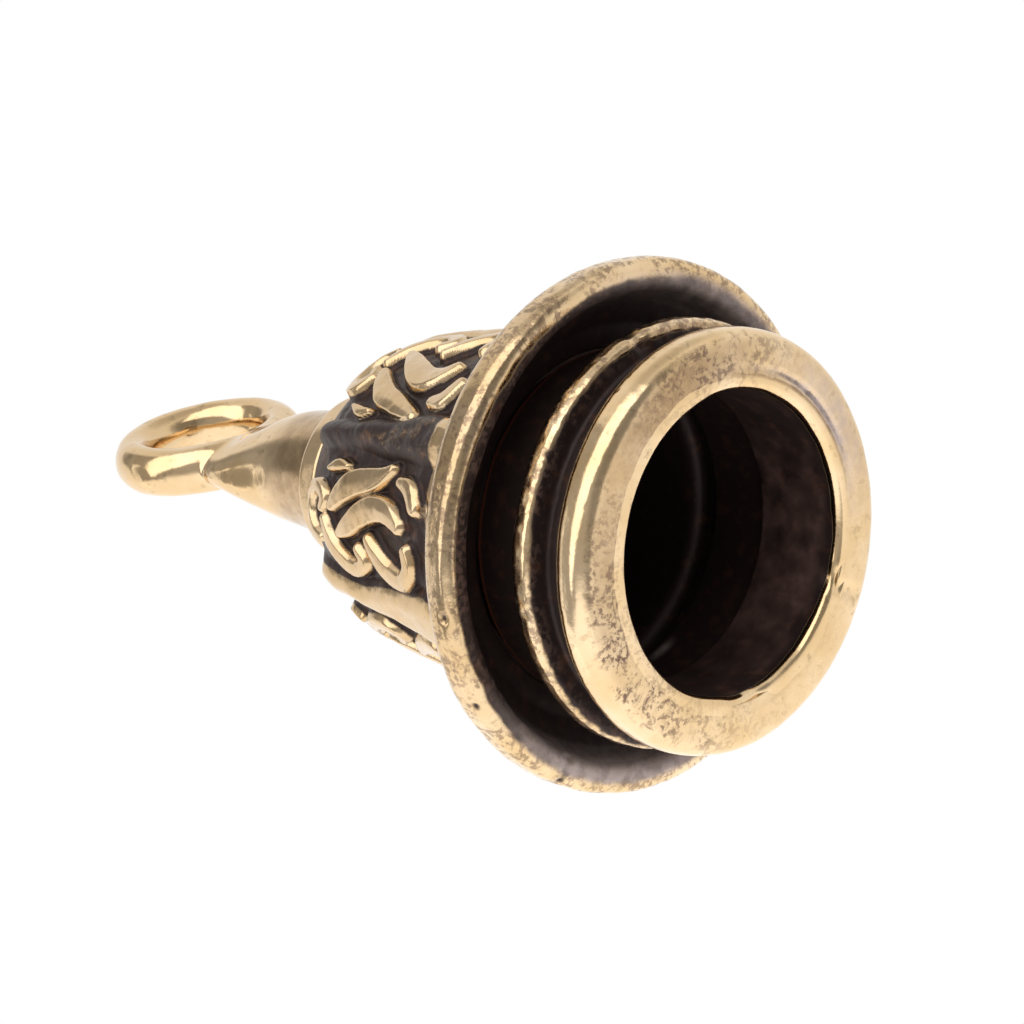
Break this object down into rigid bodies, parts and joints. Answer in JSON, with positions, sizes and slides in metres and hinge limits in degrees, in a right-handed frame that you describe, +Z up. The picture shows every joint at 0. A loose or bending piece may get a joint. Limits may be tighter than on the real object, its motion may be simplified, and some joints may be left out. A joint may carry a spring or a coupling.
{
  "type": "prayer wheel charm",
  "caption": "Bell-shaped brass prayer wheel charm with an open stepped mouth and raised ornament, turning on a pin below its hanging eye.",
  "frame": {"origin": "centre of the mouth face, which the charm stands on", "axes": "+Z up the spin axis, from the mouth to the hanging eye; the eye lies in the XZ plane"},
  "size_m": [0.0168, 0.0168, 0.0303],
  "materials": {
    "polished_brass": "worn polish",
    "aged_brass": "antiqued satin",
    "patinated_brass": "dark patina",
    "bearing_brass": "turned"
  },
  "bodies": {
    "hanger": {"hanging_eye": "polished_brass", "spindle_pin": "bearing_brass", "thrust_washer": "bearing_brass", "inner_washer": "bearing_brass"},
    "wheel": {"crown_collar": "polished_brass", "bearing_bush": "bearing_brass", "drum_shell": "aged_brass", "canopy": "polished_brass", "throat_ring": "patinated_brass", "mouth_sleeve": "aged_brass", "mid_ring": "polished_brass", "lip_ring": "polished_brass"}
  },
  "joints": [
    {"name": "wheel_spin", "type": "hinge", "parent": "hanger", "child": "wheel", "pos_m": [0, 0, 0.0177], "axis": [0, 0, 1], "continuous": true}
  ]
}
